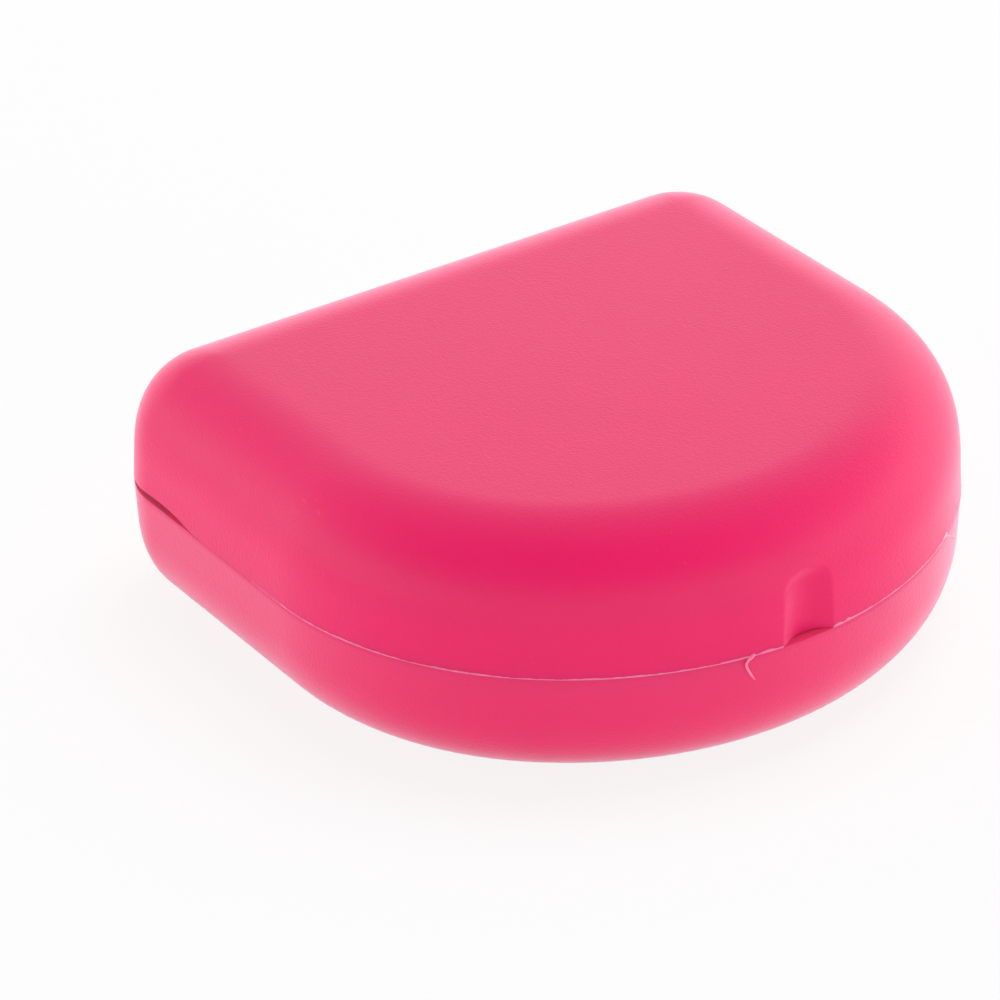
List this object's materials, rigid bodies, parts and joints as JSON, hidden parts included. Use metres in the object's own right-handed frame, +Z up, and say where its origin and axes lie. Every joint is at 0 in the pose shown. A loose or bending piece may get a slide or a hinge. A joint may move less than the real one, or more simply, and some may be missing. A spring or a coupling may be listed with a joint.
{
  "type": "retainer case",
  "caption": "Pocket-size D-shaped hinged box with a flat back, round front, soft edges and a thumb scoop in the lid, for a dental retainer.",
  "frame": {"origin": "middle of the flat underside, half way between the sides and half way between the round front and the flat back wall", "axes": "+Z up, -Y to the round front with the thumb scoop, +Y to the hinged flat back, +X to the right seen from the front"},
  "size_m": [0.08, 0.0774, 0.0286],
  "materials": {
    "base_plastic": "fine matte grain, hot pink",
    "lid_plastic": "fine matte grain, hot pink",
    "pin_steel": "plain drawn wire"
  },
  "bodies": {
    "base": {"base_shell": "base_plastic", "hinge_pin_left": "pin_steel", "hinge_pin_right": "pin_steel"},
    "lid": {"lid_shell": "lid_plastic"}
  },
  "joints": [
    {"name": "lid_hinge", "type": "hinge", "parent": "base", "child": "lid", "pos_m": [0, 0.03885, 0.014], "axis": [-1, 0, 0], "range_deg": [0, 175]}
  ]
}
